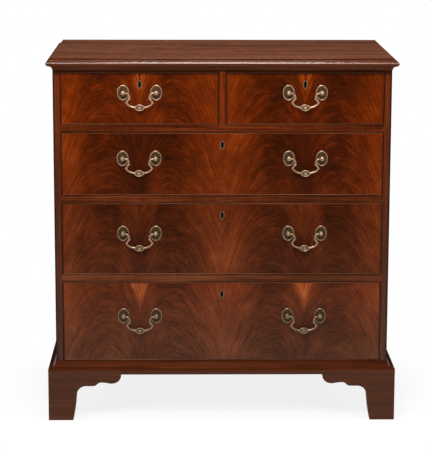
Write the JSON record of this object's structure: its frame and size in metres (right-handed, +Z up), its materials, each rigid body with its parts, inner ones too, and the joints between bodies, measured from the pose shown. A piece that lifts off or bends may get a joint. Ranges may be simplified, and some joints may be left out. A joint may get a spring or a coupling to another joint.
{
  "type": "chest of drawers",
  "caption": "Mahogany chest with short drawers over long graduated ones, cockbeaded, with swan-neck bail handles, locks and scrolled bracket feet.",
  "frame": {"origin": "on the floor, under the middle of the chest's box", "axes": "+Z up, +X to the right of someone facing the drawers, +Y from the drawer fronts to the back"},
  "size_m": [0.953, 0.5544, 0.9979],
  "materials": {
    "flame_mahogany": "flame-figured mahogany veneer, french polished",
    "cockbead_mahogany": "polished mahogany bead",
    "case_mahogany": "polished straight-grained mahogany",
    "top_mahogany": "polished mahogany board",
    "moulding_mahogany": "polished dark mahogany",
    "oak": "bare aged oak",
    "pine": "bare aged pine",
    "handle_brass": "worn lacquered brass",
    "lock_brass": "dull brass",
    "bolt_iron": "oiled iron"
  },
  "bodies": {
    "carcass": {"back_boards": "pine", "base_moulding": "moulding_mahogany", "bottom_board": "pine", "drawer_rails": "case_mahogany", "drawer_runners": "pine", "drawer_stops": "oak", "dustboards": "pine", "front_left_foot": "moulding_mahogany", "front_right_foot": "moulding_mahogany", "left_side": "case_mahogany", "rear_left_foot": "moulding_mahogany", "rear_right_foot": "moulding_mahogany", "right_side": "case_mahogany", "short_drawer_divider": "case_mahogany", "top_board": "top_mahogany", "top_moulding": "moulding_mahogany", "top_rails": "case_mahogany"},
    "short_left_drawer": {"short_left_bottom": "oak", "short_left_box": "oak", "short_left_cockbead": "cockbead_mahogany", "short_left_front": "flame_mahogany", "short_left_handle_posts": "handle_brass", "short_left_lock": "lock_brass"},
    "short_left_bolt": {"short_left_bolt": "bolt_iron"},
    "short_left_bail": {"short_left_bail": "handle_brass"},
    "short_right_drawer": {"short_right_bottom": "oak", "short_right_box": "oak", "short_right_cockbead": "cockbead_mahogany", "short_right_front": "flame_mahogany", "short_right_handle_posts": "handle_brass", "short_right_lock": "lock_brass"},
    "short_right_bolt": {"short_right_bolt": "bolt_iron"},
    "short_right_bail": {"short_right_bail": "handle_brass"},
    "upper_long_drawer": {"upper_long_bottom": "oak", "upper_long_box": "oak", "upper_long_cockbead": "cockbead_mahogany", "upper_long_front": "flame_mahogany", "upper_long_handle_posts": "handle_brass", "upper_long_lock": "lock_brass"},
    "upper_long_bolt": {"upper_long_bolt": "bolt_iron"},
    "upper_long_left_bail": {"upper_long_left_bail": "handle_brass"},
    "upper_long_right_bail": {"upper_long_right_bail": "handle_brass"},
    "middle_long_drawer": {"middle_long_bottom": "oak", "middle_long_box": "oak", "middle_long_cockbead": "cockbead_mahogany", "middle_long_front": "flame_mahogany", "middle_long_handle_posts": "handle_brass", "middle_long_lock": "lock_brass"},
    "middle_long_bolt": {"middle_long_bolt": "bolt_iron"},
    "middle_long_left_bail": {"middle_long_left_bail": "handle_brass"},
    "middle_long_right_bail": {"middle_long_right_bail": "handle_brass"},
    "lower_long_drawer": {"lower_long_bottom": "oak", "lower_long_box": "oak", "lower_long_cockbead": "cockbead_mahogany", "lower_long_front": "flame_mahogany", "lower_long_handle_posts": "handle_brass", "lower_long_lock": "lock_brass"},
    "lower_long_bolt": {"lower_long_bolt": "bolt_iron"},
    "lower_long_left_bail": {"lower_long_left_bail": "handle_brass"},
    "lower_long_right_bail": {"lower_long_right_bail": "handle_brass"}
  },
  "joints": [
    {"name": "short_left_slide", "type": "slide", "parent": "carcass", "child": "short_left_drawer", "axis": [0, -1, 0], "range_m": [0, 0.4]},
    {"name": "short_left_bolt_throw", "type": "slide", "parent": "short_left_drawer", "child": "short_left_bolt", "axis": [0, 0, 1], "range_m": [0, 0.008]},
    {"name": "short_left_bail_lift", "type": "hinge", "parent": "short_left_drawer", "child": "short_left_bail", "pos_m": [-0.22225, -0.26755, 0.9054], "axis": [-1, 0, 0], "range_deg": [-8, 110]},
    {"name": "short_right_slide", "type": "slide", "parent": "carcass", "child": "short_right_drawer", "axis": [0, -1, 0], "range_m": [0, 0.4]},
    {"name": "short_right_bolt_throw", "type": "slide", "parent": "short_right_drawer", "child": "short_right_bolt", "axis": [0, 0, 1], "range_m": [0, 0.008]},
    {"name": "short_right_bail_lift", "type": "hinge", "parent": "short_right_drawer", "child": "short_right_bail", "pos_m": [0.22225, -0.26755, 0.9054], "axis": [-1, 0, 0], "range_deg": [-8, 110]},
    {"name": "upper_long_slide", "type": "slide", "parent": "carcass", "child": "upper_long_drawer", "axis": [0, -1, 0], "range_m": [0, 0.4]},
    {"name": "upper_long_bolt_throw", "type": "slide", "parent": "upper_long_drawer", "child": "upper_long_bolt", "axis": [0, 0, 1], "range_m": [0, 0.008]},
    {"name": "upper_long_left_bail_lift", "type": "hinge", "parent": "upper_long_drawer", "child": "upper_long_left_bail", "pos_m": [-0.2245, -0.26755, 0.7273], "axis": [-1, 0, 0], "range_deg": [-8, 110]},
    {"name": "upper_long_right_bail_lift", "type": "hinge", "parent": "upper_long_drawer", "child": "upper_long_right_bail", "pos_m": [0.2245, -0.26755, 0.7273], "axis": [-1, 0, 0], "range_deg": [-8, 110]},
    {"name": "middle_long_slide", "type": "slide", "parent": "carcass", "child": "middle_long_drawer", "axis": [0, -1, 0], "range_m": [0, 0.4]},
    {"name": "middle_long_bolt_throw", "type": "slide", "parent": "middle_long_drawer", "child": "middle_long_bolt", "axis": [0, 0, 1], "range_m": [0, 0.008]},
    {"name": "middle_long_left_bail_lift", "type": "hinge", "parent": "middle_long_drawer", "child": "middle_long_left_bail", "pos_m": [-0.2245, -0.26755, 0.5212], "axis": [-1, 0, 0], "range_deg": [-8, 110]},
    {"name": "middle_long_right_bail_lift", "type": "hinge", "parent": "middle_long_drawer", "child": "middle_long_right_bail", "pos_m": [0.2245, -0.26755, 0.5212], "axis": [-1, 0, 0], "range_deg": [-8, 110]},
    {"name": "lower_long_slide", "type": "slide", "parent": "carcass", "child": "lower_long_drawer", "axis": [0, -1, 0], "range_m": [0, 0.4]},
    {"name": "lower_long_bolt_throw", "type": "slide", "parent": "lower_long_drawer", "child": "lower_long_bolt", "axis": [0, 0, 1], "range_m": [0, 0.008]},
    {"name": "lower_long_left_bail_lift", "type": "hinge", "parent": "lower_long_drawer", "child": "lower_long_left_bail", "pos_m": [-0.2245, -0.26755, 0.2906], "axis": [-1, 0, 0], "range_deg": [-8, 110]},
    {"name": "lower_long_right_bail_lift", "type": "hinge", "parent": "lower_long_drawer", "child": "lower_long_right_bail", "pos_m": [0.2245, -0.26755, 0.2906], "axis": [-1, 0, 0], "range_deg": [-8, 110]}
  ]
}
